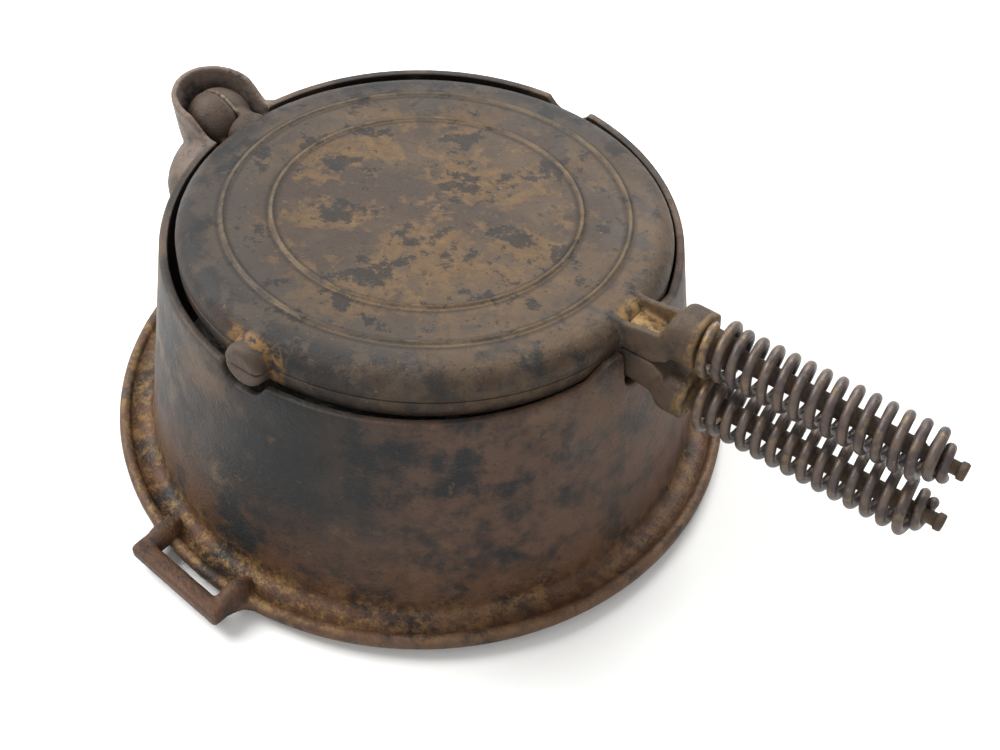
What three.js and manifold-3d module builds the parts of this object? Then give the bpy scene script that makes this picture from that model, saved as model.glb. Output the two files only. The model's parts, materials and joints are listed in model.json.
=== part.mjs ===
// A stovetop waffle iron of cast iron: a high ring stand, and a hinged pair of waffle
// pans that turns over in it on a ball and socket. Millimetres, +Z up. The origin is on
// the stove top under the middle of the whole iron, and +X points along the handles.
import * as THREE from "three";
import { mergeVertices } from "three/addons/utils/BufferGeometryUtils.js";
import Module from "manifold-3d";

const wasm = await Module();
wasm.setup();

// Clearances
const matingGap = 0.3; // between faces that meet when the iron is shut
const runningGap = 0.4; // between a turning surface and its seat
const sideGap = 2.4; // between the edge of the pans and the stand's wall
const overrun = 20; // how far a cutting solid runs past what it cuts

// Stand: a cone of even wall, a flange and a short foot ring under it
const standHeight = 103.2;
const rimRadius = 103.2;
const footRadius = 121.3;
const wallThickness = 3.3;
const rimRound = 0.9;
const footHeight = 4.5;
const flangeRadius = 134.4;
const flangeThickness = 3.2;
const flangeEdgeRound = 1.2;
const beadWidth = 5;
const beadHeight = 2.2;
const footFillet = 4.5;
const standSegments = 64;
const socketSegments = 28;

// How the shut pair of pans rests in the stand
const ballDrop = 5.8; // from the rim down to the ball's centre
const ballOffset = 17.9; // from the pans' edge out to the ball's centre
const pairShift = 1.6; // of the pans' centre towards the handles
const restTilt = 3.8; // degrees about the handles' axis, stop lug up
const restPitch = 2.2; // degrees that the handles rise

// Cup for the ball, open above and towards the middle
const ballRadius = 14.3;
const cupWall = 2.9;
const cupFlare = 1;
const lipRise = 11.9; // from the rim up to the back of the cup's lip
const lipFall = 5.8; // from there to where the cup's walls meet the ring
const lipRound = 0.9;
const cupDepth = 20;
const cupFootRadius = 9;

// Rounded bolster on the wall under the cup
const bolsterDrop = 21; // from the rim down to its widest part
const bolsterRise = 22;
const bolsterBelly = 34;
const bolsterFall = 52;
const bolsterFootRadius = 12;
const bolsterHalfWidth = 41;
const bolsterReach = 20;
const bolsterDepth = 31;

// Notch that carries the handle necks, with a low horn on each side of it
const notchPlay = 2.8;
const notchCorner = 5;
const hornHeight = 3.8;
const hornOffset = 2;
const hornTopWidth = 8;
const hornRamp = 9;
const hornSlope = 0.5;

// Notches at the sides that receive the stop lug
const lugNotchDepth = 6.7;
const lugNotchRise = 3;
const lugNotchHalfWidth = 11;
const lugNotchShoulder = 8.5;
const lugNotchFloorHalfWidth = 4.5;

// Lifting loops on the flange
const loopHalfWidth = 24.8;
const loopBar = 7.6;
const loopGap = 4.2;
const loopRise = 4.2;
const loopBevel = 2;
const loopCorner = 1.9;
const loopFilletRadius = 8;
const loopHumpLength = 9;
const loopHumpHeight = 5;
const loopTurn = 3.8; // degrees that both loops are turned back from the sides

// Pans, measured from the parting plane
const panHeight = 11.6;
const panEdgeHeight = 3.6;
const shoulderWidth = 10;
const panLip = 7;
const recessDepth = 7.4;
const recessDraft = 2;
const ringInsets = [18.1, 37]; // from the pan's edge in to each raised ring
const ringWidth = 2.8;
const ringCrest = 1.1;
const ringHeight = 0.9;
const panSegments = 64;

// Waffle pegs
const pegPitch = 13;
const pegFoot = 9.6;
const pegTip = 7.2;
const pegHeight = 4.8;
const dividerFoot = 5;
const dividerTip = 1.6;
const pegEdgeGap = 1.2;

// Stop lug on the side of the pans
const lugRadius = 8.6;
const lugStandOut = 6.8;
const lugRound = 2.2;
const lugEdge = 0.7;
const lugRootFlare = 2.6;
const lugSides = 20;

// Arm and boss behind each half ball, and the pivot between the half balls
const armRadius = 10;
const bossRadius = 10.6;
const bossInset = 2; // from the pan's edge in to the boss's centre
const pivotRadius = 4;
const pivotLength = 7;
const hingeSegments = 24;

// Handle necks, measured out from the pan's edge: an open tray with two ribs, a collar
const neckHalfWidth = 9.4;
const neckInset = 13.5;
const neckFlare = 6.5;
const ribThickness = 2.8;
const ribEndHeight = 14;
const trayInset = 6.5;
const trayLength = 10.5;
const trayStartHeight = 8.4;
const trayEndHeight = 5.6;
const neckLength = 16;
const collarStart = 10;
const collarFull = 18.5;
const collarEnd = 28.1;
const collarHalfHeight = 9.3;
const collarRound = 5.5;
const collarArch = 2.5;
const collarRingThickness = 1.4;
const collarRingRadius = 10.4;

// Tang inside each coil grip
const gripOffset = 12.8; // from the parting plane to the tang's axis
const spigotLength = 10;
const spigotRadius = 6.3;
const tangRadius = 3.5;
const tangEndRadius = 2.5;
const tangHeadRadius = 3.3;
const tangHeadLength = 2.8;
const tangLength = 124.5; // from the pan's edge to the tang's end

// Coil grips of round wire
const wireDiameter = 3.8;
const coilDiameter = 22;
const startSwell = 1.7;
const closeTurns = 2;
const closePitch = 5.3;
const openTurns = 12;
const openPitch = 6.03;
const taperTurns = 0.6;
const endTurns = 0.5;
const endPitch = 4.9;
const endCoilRadius = 5;
const stepsPerTurn = 8;
const wireSides = 5;

const panRadius = rimRadius - wallThickness - sideGap;
const recessRadius = panRadius - panLip;
const ballReach = panRadius + ballOffset;
const ballHeight = standHeight - ballDrop;
const cupReach = ballReach - pairShift;
const seatRadius = ballRadius + runningGap;
const cupRadius = seatRadius + cupWall;
const lipHeight = standHeight + lipRise;
const gutterHeight = footHeight + flangeThickness;
const turningGap = matingGap / 2;
const notchHalfWidth = neckHalfWidth + notchPlay;
const pitch = THREE.MathUtils.degToRad(restPitch);

const castIron = (name, color, roughness) =>
  new THREE.MeshStandardMaterial({ name, color, roughness, metalness: 0.6 });

// Outer radius of the stand's cone at a height.
function wallRadius(height) {
  return rimRadius + (footRadius - rimRadius) * (1 - height / standHeight);
}

// A closed geometry as a solid that can be joined and cut.
function solidOf(geometry) {
  const bare = geometry.index ? geometry.clone() : geometry;
  for (const name of ["normal", "uv"]) bare.deleteAttribute(name);
  const merged = mergeVertices(bare, 1e-4);
  const faces = [];
  const index = merged.index.array;
  for (let i = 0; i < index.length; i += 3) {
    const [a, b, c] = [index[i], index[i + 1], index[i + 2]];
    if (a !== b && b !== c && c !== a) faces.push(a, b, c);
  }
  const vertProperties = new Float32Array(merged.attributes.position.array);
  const triVerts = new Uint32Array(faces);
  return new wasm.Manifold(new wasm.Mesh({ numProp: 3, vertProperties, triVerts }));
}

// A solid as a named mesh with its own material.
function meshOf(name, solid, material) {
  const { vertProperties, triVerts } = solid.getMesh();
  const geometry = new THREE.BufferGeometry();
  geometry.setAttribute("position", new THREE.BufferAttribute(vertProperties, 3));
  geometry.setIndex(new THREE.BufferAttribute(triVerts, 1));
  geometry.computeVertexNormals();
  const mesh = new THREE.Mesh(geometry, material);
  mesh.name = name;
  return mesh;
}

function joined(solids) {
  return solids.reduce((all, one) => all.add(one));
}

function less(solid, cuts) {
  return cuts.reduce((left, cut) => left.subtract(cut), solid);
}

function outline(points) {
  return new THREE.Shape(points.map(([x, y]) => new THREE.Vector2(x, y)));
}

// Solid of revolution about Z from [radius, height] points taken upwards on the outside.
function turned(points, segments) {
  const profile = points.map(([r, z]) => new THREE.Vector2(r, z));
  return solidOf(new THREE.LatheGeometry(profile, segments).rotateX(Math.PI / 2));
}

// Side outline of [x, z] points, from one y to another.
function slab(points, yFrom, yTo) {
  const geometry = new THREE.ExtrudeGeometry(outline(points), {
    depth: yTo - yFrom,
    bevelEnabled: false,
  });
  return solidOf(geometry.rotateX(Math.PI / 2).translate(0, yTo, 0));
}

// End outline of [y, z] points, from one x to another.
function bar(points, xFrom, xTo) {
  const geometry = new THREE.ExtrudeGeometry(outline(points), {
    depth: xTo - xFrom,
    bevelEnabled: false,
  });
  const axes = new THREE.Matrix4().makeBasis(
    new THREE.Vector3(0, 1, 0),
    new THREE.Vector3(0, 0, 1),
    new THREE.Vector3(1, 0, 0),
  );
  return solidOf(geometry.applyMatrix4(axes).translate(xFrom, 0, 0));
}

// Round rod along X on the line y = 0 at a height.
function rodAlongX(radius, xFrom, xTo, height, sides) {
  const geometry = new THREE.CylinderGeometry(radius, radius, xTo - xFrom, sides);
  return solidOf(geometry.rotateZ(-Math.PI / 2).translate((xFrom + xTo) / 2, 0, height));
}

// Points on an arc about a centre, from one angle to another, ends included.
function arc(centreX, centreY, radiusX, radiusY, from, to, steps) {
  const points = [];
  for (let i = 0; i <= steps; i += 1) {
    const a = from + ((to - from) * i) / steps;
    points.push([centreX + radiusX * Math.cos(a), centreY + radiusY * Math.sin(a)]);
  }
  return points;
}

// Rectangle with round corners about a centre.
function roundedBox(centreX, centreY, halfX, halfY, radius, steps) {
  const corners = [[1, 1], [-1, 1], [-1, -1], [1, -1]];
  return corners.flatMap(([sx, sy], i) =>
    arc(
      centreX + sx * (halfX - radius),
      centreY + sy * (halfY - radius),
      radius,
      radius,
      (i * Math.PI) / 2,
      ((i + 1) * Math.PI) / 2,
      steps,
    ),
  );
}

// Ring wall with its flange, bead and foot.
function standRing() {
  const beadCentre = flangeRadius - beadWidth / 2;
  const filletTop = gutterHeight + footFillet;
  const filletRadius = wallRadius(filletTop) + footFillet;
  const innerFoot = footRadius - wallThickness;
  const innerRim = rimRadius - wallThickness;
  return turned(
    [
      [innerFoot, 0],
      [footRadius, 0],
      [wallRadius(footHeight), footHeight],
      [flangeRadius - flangeEdgeRound, footHeight],
      [flangeRadius, footHeight + flangeEdgeRound],
      ...arc(beadCentre, gutterHeight, beadWidth / 2, beadHeight, 0, Math.PI, 4),
      ...arc(filletRadius, filletTop, footFillet, footFillet, -Math.PI / 2, -Math.PI, 4),
      [rimRadius, standHeight - rimRound],
      [rimRadius - rimRound, standHeight],
      [innerRim + rimRound, standHeight],
      [innerRim, standHeight - rimRound],
      [innerFoot, 0],
    ],
    standSegments,
  );
}

// The space inside the ring wall, to trim what is added outside it.
function ringBore() {
  const innerFoot = footRadius - wallThickness;
  const growth = (footRadius - rimRadius) / standHeight;
  const top = lipHeight + overrun;
  const innerTop = rimRadius - wallThickness - growth * (top - standHeight);
  return turned([[0, 0], [innerFoot, 0], [innerTop, top], [0, top]], standSegments);
}

// Straight-sided cup for the ball with walls that run to the ring, on a bolster.
function socketBody() {
  const widest = cupRadius + cupFlare;
  const bell = turned(
    [
      [0, ballHeight - cupDepth],
      [cupFootRadius, ballHeight - cupDepth],
      ...arc(0, ballHeight, cupRadius, cupDepth, -Math.PI / 4, 0, 3),
      [widest, lipHeight - lipRound],
      [widest - lipRound, lipHeight],
      [0, lipHeight],
    ],
    socketSegments,
  ).translate([-cupReach, 0, 0]);
  const wallSection = [
    [cupRadius, ballHeight],
    [widest, lipHeight],
  ];
  const walls = bar(bothSides(wallSection), -cupReach, wallThickness - rimRadius);
  return joined([bell, walls, bolster()]).subtract(ringBore());
}

// Right side points of an outline, upwards, and the same on the left, downwards.
function bothSides(points) {
  return [...points, ...points.map(([y, z]) => [-y, z]).reverse()];
}

// Broad rounded swelling of the wall that carries the cup.
function bolster() {
  const height = standHeight - bolsterDrop;
  const rounded = turned(
    [
      [0, -bolsterFall],
      [bolsterFootRadius, -bolsterFall],
      ...arc(0, 0, bolsterHalfWidth, bolsterBelly, -Math.PI / 4, 0, 4),
      ...arc(0, 0, bolsterHalfWidth, bolsterRise, 0, Math.PI / 2, 5).slice(1),
    ],
    socketSegments,
  ).scale([bolsterDepth / bolsterHalfWidth, 1, 1]);
  const centre = bolsterDepth - bolsterReach - wallRadius(height);
  return rounded.translate([centre, 0, height]);
}

// What the ball, its arm and the sloping lip take away from the cup and the wall.
function socketCuts() {
  const mouth = seatRadius + cupFlare;
  const widest = cupRadius + cupFlare;
  const top = lipHeight + overrun;
  const channelEnd = wallThickness + overrun - rimRadius;
  const sphere = new THREE.SphereGeometry(seatRadius, socketSegments, socketSegments / 2);
  const seat = solidOf(sphere.translate(-cupReach, 0, ballHeight));
  const well = turned(
    [
      [0, ballHeight],
      [seatRadius, ballHeight],
      [mouth, lipHeight],
      [mouth + overrun, top],
      [0, top],
    ],
    socketSegments,
  ).translate([-cupReach, 0, 0]);
  const channel = rodAlongX(seatRadius, -cupReach, channelEnd, ballHeight, socketSegments);
  const slotSection = [
    [seatRadius, ballHeight],
    [mouth, lipHeight],
    [mouth, top],
  ];
  const slot = bar(bothSides(slotSection), -cupReach, channelEnd);
  const slope = slab(
    [
      [-cupReach - widest, lipHeight],
      [wallThickness - rimRadius, lipHeight - lipFall],
      [channelEnd, lipHeight - lipFall],
      [channelEnd, top],
      [-cupReach - widest, top],
    ],
    -mouth - overrun,
    mouth + overrun,
  );
  return [seat, well, channel, slot, slope];
}

// Low horns on the rim at each side of the handle notch.
function horns() {
  const growth = (footRadius - rimRadius) / standHeight;
  const top = rimRadius - growth * hornHeight;
  const band = turned(
    [
      [rimRadius - wallThickness, standHeight - rimRound],
      [rimRadius, standHeight - rimRound],
      [top, standHeight + hornHeight],
      [top - wallThickness, standHeight + hornHeight],
      [rimRadius - wallThickness, standHeight - rimRound],
    ],
    standSegments,
  );
  const start = notchHalfWidth - hornOffset;
  const topStart = notchHalfWidth + hornOffset;
  const topEnd = notchHalfWidth + hornTopWidth;
  const side = [
    [start, standHeight - hornRamp],
    [topEnd + hornRamp, standHeight - rimRound],
    [topEnd, standHeight + hornHeight - hornSlope],
    [topStart, standHeight + hornHeight],
    [start, standHeight + hornHeight - hornSlope],
  ];
  const mirrored = side.map(([y, z]) => [-y, z]).reverse();
  return [side, mirrored].map((points) => band.intersect(bar(points, 0, flangeRadius)));
}

// Height of the axis of the handles over a distance from the ring's centre.
function axisHeightAt(x) {
  return ballHeight + (x + cupReach) * Math.tan(pitch);
}

// Height of the handle ribs above the parting plane where the wall is.
function ribHeightAt(x) {
  return panHeight + ((ribEndHeight - panHeight) * (x - panRadius)) / neckLength;
}

// Notch with round corners for the handle necks.
function handleNotch() {
  const floor = axisHeightAt(rimRadius) - Math.hypot(neckHalfWidth, ribHeightAt(rimRadius)) - runningGap;
  const middle = notchHalfWidth - notchCorner;
  const corner = floor + notchCorner;
  const top = standHeight + hornHeight + overrun;
  const points = [
    [-notchHalfWidth, top],
    ...arc(-middle, corner, notchCorner, notchCorner, -Math.PI, -Math.PI / 2, 5),
    ...arc(middle, corner, notchCorner, notchCorner, -Math.PI / 2, 0, 5),
    [notchHalfWidth, top],
  ];
  return bar(points, 0, flangeRadius);
}

// Shallow notch at each side of the stand, open above.
function lugNotches() {
  const floor = standHeight - lugNotchDepth;
  const points = bothSides([
    [lugNotchFloorHalfWidth, floor],
    [lugNotchShoulder, floor + lugNotchRise],
    [lugNotchHalfWidth, standHeight],
    [lugNotchHalfWidth, standHeight + overrun],
  ]);
  return slab(points, -flangeRadius, flangeRadius);
}

// Square-cornered loop of bevelled bar that stands out from the flange on one side.
function loopBarOutline() {
  const root = flangeRadius - beadWidth - loopBar / 2;
  const reach = flangeRadius + loopGap + loopBar - loopBevel;
  const outer = loopHalfWidth - loopBevel;
  const inner = loopHalfWidth - loopBar + loopBevel;
  const innerReach = reach - loopBar + 2 * loopBevel;
  return [
    [outer, root],
    [outer, reach - loopCorner],
    [outer - loopCorner, reach],
    [loopCorner - outer, reach],
    [-outer, reach - loopCorner],
    [-outer, root],
    [-inner, root],
    [-inner, innerReach],
    [inner, innerReach],
    [inner, root],
  ];
}

// Web that rounds the corner between the loop's arm and the flange's edge.
function loopFillet() {
  const centreX = loopHalfWidth + loopFilletRadius;
  const centreY = Math.sqrt((flangeRadius + loopFilletRadius) ** 2 - centreX ** 2);
  const stop = Math.PI + Math.atan2(centreY, centreX);
  const curve = arc(centreX, centreY, loopFilletRadius, loopFilletRadius, Math.PI, stop, 5);
  const armMiddle = loopHalfWidth - loopBar / 2;
  const [endX, endY] = curve[curve.length - 1];
  return [[armMiddle, centreY], ...curve, [endX, endY - beadWidth], [armMiddle, endY - beadWidth]];
}

// Loop on one side with its corner webs and the humps that run in over the bead.
function liftingLoop(side) {
  const points = loopBarOutline().map(([x, y]) => [x, side * y]);
  const bend = new THREE.ExtrudeGeometry(outline(points), {
    depth: loopBar - 2 * loopBevel,
    bevelThickness: loopBevel,
    bevelSize: loopBevel,
    bevelSegments: 2,
  });
  const low = footHeight + loopRise - loopBar / 2 + loopBevel;
  const ends = [-1, 1].flatMap((end) => [loopWeb(side, end), loopHump(side, end)]);
  return joined([solidOf(bend.translate(0, 0, low)), ...ends]).rotate([0, 0, -loopTurn]);
}

// Web at one end of a loop.
function loopWeb(side, end) {
  const web = outline(loopFillet().map(([x, y]) => [end * x, side * y]));
  const depth = flangeThickness + beadHeight / 2;
  const geometry = new THREE.ExtrudeGeometry(web, { depth, bevelEnabled: false });
  return solidOf(geometry.translate(0, 0, footHeight));
}

// Hump over the bead at one end of a loop.
function loopHump(side, end) {
  const hump = new THREE.SphereGeometry(1, 12, 8);
  hump.scale((loopBar + loopBevel) / 2, loopHumpLength, loopHumpHeight);
  const across = end * (loopHalfWidth - loopBar / 2);
  const along = side * (flangeRadius - beadWidth / 2);
  return solidOf(hump.translate(across, along, gutterHeight + beadHeight));
}

function standCasting() {
  const cuts = [...socketCuts(), handleNotch(), lugNotches()];
  const body = less(joined([standRing(), socketBody(), ...horns()]), cuts);
  return joined([body, liftingLoop(-1), liftingLoop(1)]);
}

// Round pan with two raised rings outside and a shallow recess inside.
function panShell() {
  const rings = ringInsets.flatMap((inset) => [
    [panRadius - inset + ringWidth / 2, panHeight],
    [panRadius - inset + ringCrest / 2, panHeight + ringHeight],
    [panRadius - inset - ringCrest / 2, panHeight + ringHeight],
    [panRadius - inset - ringWidth / 2, panHeight],
  ]);
  const shoulderRise = panHeight - panEdgeHeight;
  return turned(
    [
      [0, recessDepth],
      [recessRadius - recessDraft, recessDepth],
      [recessRadius, turningGap],
      [panRadius, turningGap],
      ...arc(panRadius - shoulderWidth, panEdgeHeight, shoulderWidth, shoulderRise, 0, Math.PI / 2, 5),
      ...rings,
      [0, panHeight],
    ],
    panSegments,
  );
}

// Square peg with drawn-in sides, hanging from the recess floor.
function pegAt(x, y, footX, footY, tipX, tipY) {
  const low = recessDepth - pegHeight;
  const high = recessDepth + turningGap;
  const corners = [[-1, -1], [1, -1], [1, 1], [-1, 1]];
  const points = [];
  for (const [sx, sy] of corners) points.push(x + (sx * tipX) / 2, y + (sy * tipY) / 2, low);
  for (const [sx, sy] of corners) points.push(x + (sx * footX) / 2, y + (sy * footY) / 2, high);
  const faces = [0, 2, 1, 0, 3, 2, 4, 5, 6, 4, 6, 7];
  for (let i = 0; i < 4; i += 1) {
    const j = (i + 1) % 4;
    faces.push(i, j, j + 4, i, j + 4, i + 4);
  }
  const geometry = new THREE.BufferGeometry();
  geometry.setAttribute("position", new THREE.Float32BufferAttribute(points, 3));
  return solidOf(geometry.setIndex(faces));
}

// Grid of pegs in four quarters, parted by a cross of low dividers.
function waffleGrid() {
  const reach = recessRadius - recessDraft - pegEdgeGap;
  const first = dividerFoot / 2 + (pegPitch - pegFoot) + pegFoot / 2;
  const perSide = Math.ceil((reach - first) / pegPitch) + 1;
  const places = [];
  for (let i = 0; i < perSide; i += 1) places.push(first + i * pegPitch, -first - i * pegPitch);
  const pegs = [];
  for (const x of places) {
    for (const y of places) {
      if (Math.hypot(x, y) < reach) pegs.push(pegAt(x, y, pegFoot, pegFoot, pegTip, pegTip));
    }
  }
  const length = 2 * recessRadius;
  pegs.push(pegAt(0, 0, length, dividerFoot, length, dividerTip));
  pegs.push(pegAt(0, 0, dividerFoot, length, dividerTip, length));
  const well = turned(
    [
      [0, 0],
      [reach + recessDraft, 0],
      [reach, recessDepth + overrun],
      [0, recessDepth + overrun],
    ],
    panSegments,
  );
  return joined(pegs).intersect(well);
}

// Half of the round stop lug, on one side of the pan.
function lugHalf(side) {
  const reach = panRadius + lugStandOut;
  const profile = [
    [0, recessRadius],
    [lugRadius + lugRootFlare, recessRadius],
    [lugRadius + lugRootFlare / 2, panRadius - lugRootFlare],
    [lugRadius, panRadius + matingGap],
    [lugRadius, reach - lugRound],
    [lugRadius - lugEdge, reach - lugEdge],
    [lugRadius - lugRound, reach],
    [0, reach],
  ];
  const points = profile.map(([r, z]) => new THREE.Vector2(r, z));
  const geometry = new THREE.LatheGeometry(points, lugSides);
  if (side < 0) geometry.rotateX(Math.PI);
  return solidOf(geometry);
}

// Ball of a radius on the hinge axis, or at a distance from the pan's centre.
function ballAt(x, radius) {
  const geometry = new THREE.SphereGeometry(radius, hingeSegments, hingeSegments / 2);
  return solidOf(geometry.translate(-x, 0, 0));
}

// Half of the ball, with the arm and the boss that tie it to the pan.
function hingeHalf(hasPin) {
  const far = -ballReach - ballRadius - overrun;
  const side = slab(
    [[far, -overrun], [0, -overrun], [0, overrun], [far, overrun]],
    turningGap,
    ballRadius + overrun,
  );
  const above = slab(
    [[far, turningGap], [0, turningGap], [0, overrun], [far, overrun]],
    -overrun,
    overrun,
  );
  const arm = rodAlongX(armRadius, -ballReach, -recessRadius - recessDraft, 0, hingeSegments);
  const dome = ballAt(panRadius - bossInset, bossRadius);
  const seat = ballAt(ballReach, seatRadius).subtract(side);
  const recess = turned(
    [
      [0, 0],
      [recessRadius, 0],
      [recessRadius - recessDraft, recessDepth],
      [0, recessDepth],
    ],
    panSegments,
  );
  const boss = less(joined([dome, arm.intersect(side)]).intersect(above), [seat, recess]);
  const half = joined([ballAt(ballReach, ballRadius).intersect(side), boss]);
  if (hasPin) return half.add(pivotRod(pivotRadius, -pivotLength, pivotLength));
  return half.subtract(pivotRod(pivotRadius + matingGap, -overrun, pivotLength + 2 * matingGap));
}

// Rod across the ball on the hinge axis, from one y to another.
function pivotRod(radius, yFrom, yTo) {
  const geometry = new THREE.CylinderGeometry(radius, radius, yTo - yFrom, 20);
  return solidOf(geometry.translate(-ballReach, (yFrom + yTo) / 2, 0));
}

// Solid between rings of [y, z] points, one ring at each x, anticlockwise from +X.
function lofted(sections) {
  const count = sections[0].points.length;
  const points = sections.flatMap(({ x, points: ring }) => ring.flatMap(([y, z]) => [x, y, z]));
  const faces = [];
  for (let i = 0; i < sections.length - 1; i += 1) {
    for (let k = 0; k < count; k += 1) {
      const [a, b] = [i * count + k, i * count + ((k + 1) % count)];
      faces.push(a, b, a + count, b, b + count, a + count);
    }
  }
  const last = (sections.length - 1) * count;
  for (let k = 1; k < count - 1; k += 1) {
    faces.push(0, k + 1, k, last, last + k, last + k + 1);
  }
  const geometry = new THREE.BufferGeometry();
  geometry.setAttribute("position", new THREE.Float32BufferAttribute(points, 3));
  return solidOf(geometry.setIndex(faces));
}

// Space between the two ribs of a handle neck, open above.
function trayCut(xFrom, xTo) {
  const top = panHeight + overrun;
  const points = [
    [xFrom, trayStartHeight],
    [panRadius + trayLength, trayEndHeight],
    [xTo, trayEndHeight],
    [xTo, top],
    [xFrom, top],
  ];
  return slab(points, ribThickness - neckHalfWidth, neckHalfWidth - ribThickness);
}

// Open tray with two ribs, running into a rounded collar.
function handleNeck() {
  const archTop = gripOffset - collarHalfHeight;
  const end = panRadius + neckLength + collarArch;
  const arch = arc(end, turningGap, collarArch, archTop, Math.PI, Math.PI / 2, 4);
  const trunk = slab(
    [
      [panRadius - neckInset, panHeight / 2],
      [recessRadius, turningGap],
      ...arch,
      [end, ribEndHeight],
      [panRadius, panHeight],
      [panRadius - neckInset, panHeight],
    ],
    -neckHalfWidth,
    neckHalfWidth,
  );
  const tray = trayCut(panRadius - trayInset, panRadius + collarFull);
  return joined([trunk.subtract(tray), neckFlares(), collar(archTop)]);
}

// Fillets that carry the neck's sides into the pan's shoulder.
function neckFlares() {
  const middle = (recessDepth + panHeight) / 2;
  const halfHeight = (panHeight - recessDepth) / 2;
  const root = panRadius - neckInset;
  const steps = arc(root, 0, neckInset + matingGap, neckFlare, 0, Math.PI / 2, 4);
  const sections = steps.map(([x, flare]) => {
    const width = neckHalfWidth + neckFlare - Math.sqrt(Math.max(neckFlare ** 2 - flare ** 2, 0));
    return { x, points: roundedBox(0, middle, width, halfHeight, halfHeight / 4, 1) };
  });
  return lofted(sections.reverse()).subtract(trayCut(panRadius - trayInset, panRadius + overrun));
}

// Rounded square collar with a ramped nose and a thin ring at its end.
function collar(bottom) {
  const rampShares = [[0, 0.15], [0.25, 0.42], [0.5, 0.7], [0.75, 0.92], [1, 1]]; // along, up
  const sections = rampShares.map(([along, up]) => {
    const halfHeight = collarHalfHeight * up;
    const radius = Math.min(collarRound, halfHeight / 2);
    const x = panRadius + collarStart + (collarFull - collarStart) * along;
    return { x, points: roundedBox(0, bottom + halfHeight, neckHalfWidth, halfHeight, radius, 4) };
  });
  const block = roundedBox(0, gripOffset, neckHalfWidth, collarHalfHeight, collarRound, 4);
  const end = panRadius + collarEnd;
  sections.push({ x: end, points: block });
  const ring = rodAlongX(collarRingRadius, end - collarRingThickness, end, gripOffset, 24);
  return lofted(sections).add(ring);
}

// Stepped tang that the coil grip is wound round, thinner where the wire draws in, with
// a head that holds the wire on.
function handleTang() {
  const start = panRadius + collarEnd;
  const shoulder = coilPlace(closeTurns + openTurns).x - wireDiameter / 2;
  const tip = panRadius + tangLength;
  return joined([
    rodAlongX(spigotRadius, start - collarRingThickness, start + spigotLength, gripOffset, 20),
    rodAlongX(tangRadius, start, shoulder, gripOffset, 14),
    rodAlongX(tangEndRadius, shoulder - tangRadius, tip, gripOffset, 12),
    rodAlongX(tangHeadRadius, tip - tangHeadLength, tip, gripOffset, 12),
  ]);
}

// One pan casting in the upper pan's attitude.
function panCasting(lugSide, hasPin) {
  const above = slab(
    [
      [-flangeRadius, turningGap],
      [flangeRadius, turningGap],
      [flangeRadius, panHeight + overrun],
      [-flangeRadius, panHeight + overrun],
    ],
    -flangeRadius,
    flangeRadius,
  );
  const lug = lugHalf(lugSide).intersect(above);
  return joined([panShell(), waffleGrid(), lug, hingeHalf(hasPin), handleNeck(), handleTang()]);
}

// Centre line of a coil grip: close turns, open turns, then a drawn-in end. The first
// turns are wound a little larger.
function coilPlace(turn) {
  const wide = (coilDiameter - wireDiameter) / 2;
  const taperStart = closeTurns + openTurns;
  const close = Math.min(turn, closeTurns);
  const open = Math.min(Math.max(turn - closeTurns, 0), openTurns);
  const last = Math.max(turn - taperStart, 0);
  const drawnIn = Math.min(last / taperTurns, 1);
  const swell = startSwell * (1 - close / closeTurns);
  const radius = wide + swell + (endCoilRadius - wide) * drawnIn;
  const start = panRadius + collarEnd + matingGap + wireDiameter / 2;
  const x = start + close * closePitch + open * openPitch + last * endPitch;
  return { x, radius, angle: 2 * Math.PI * turn };
}

// Unbroken wire of a coil grip, one ring of points for each step.
function coilWire() {
  const turns = closeTurns + openTurns + taperTurns + endTurns;
  const steps = Math.round(turns * stepsPerTurn);
  const points = [];
  for (let i = 0; i <= steps; i += 1) {
    const { x, radius, angle } = coilPlace((turns * i) / steps);
    for (let k = 0; k < wireSides; k += 1) {
      const around = (2 * Math.PI * k) / wireSides;
      const out = radius + (wireDiameter / 2) * Math.cos(around);
      const along = (wireDiameter / 2) * Math.sin(around);
      points.push(x + along, -out * Math.sin(angle), gripOffset + out * Math.cos(angle));
    }
  }
  const faces = [];
  for (let i = 0; i < steps; i += 1) {
    for (let k = 0; k < wireSides; k += 1) {
      const next = (k + 1) % wireSides;
      const [a, b] = [i * wireSides + k, i * wireSides + next];
      const [c, d] = [a + wireSides, b + wireSides];
      faces.push(a, c, b, b, c, d);
    }
  }
  for (let k = 1; k < wireSides - 1; k += 1) {
    const end = steps * wireSides;
    faces.push(0, k, k + 1, end, end + k + 1, end + k);
  }
  const geometry = new THREE.BufferGeometry();
  geometry.setAttribute("position", new THREE.Float32BufferAttribute(points, 3));
  return solidOf(geometry.setIndex(faces));
}

// Least gap of the wire to itself, measured between points on its centre line.
function leastWireGap() {
  const turns = closeTurns + openTurns + taperTurns + endTurns;
  const samples = 24;
  const line = [];
  for (let i = 0; i <= turns * samples; i += 1) {
    const { x, radius, angle } = coilPlace(i / samples);
    line.push(new THREE.Vector3(x, -radius * Math.sin(angle), radius * Math.cos(angle)));
  }
  let least = Infinity;
  line.forEach((p, i) =>
    line.slice(i + samples / 2).forEach((q) => {
      least = Math.min(least, p.distanceTo(q));
    }),
  );
  return least - wireDiameter;
}

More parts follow.
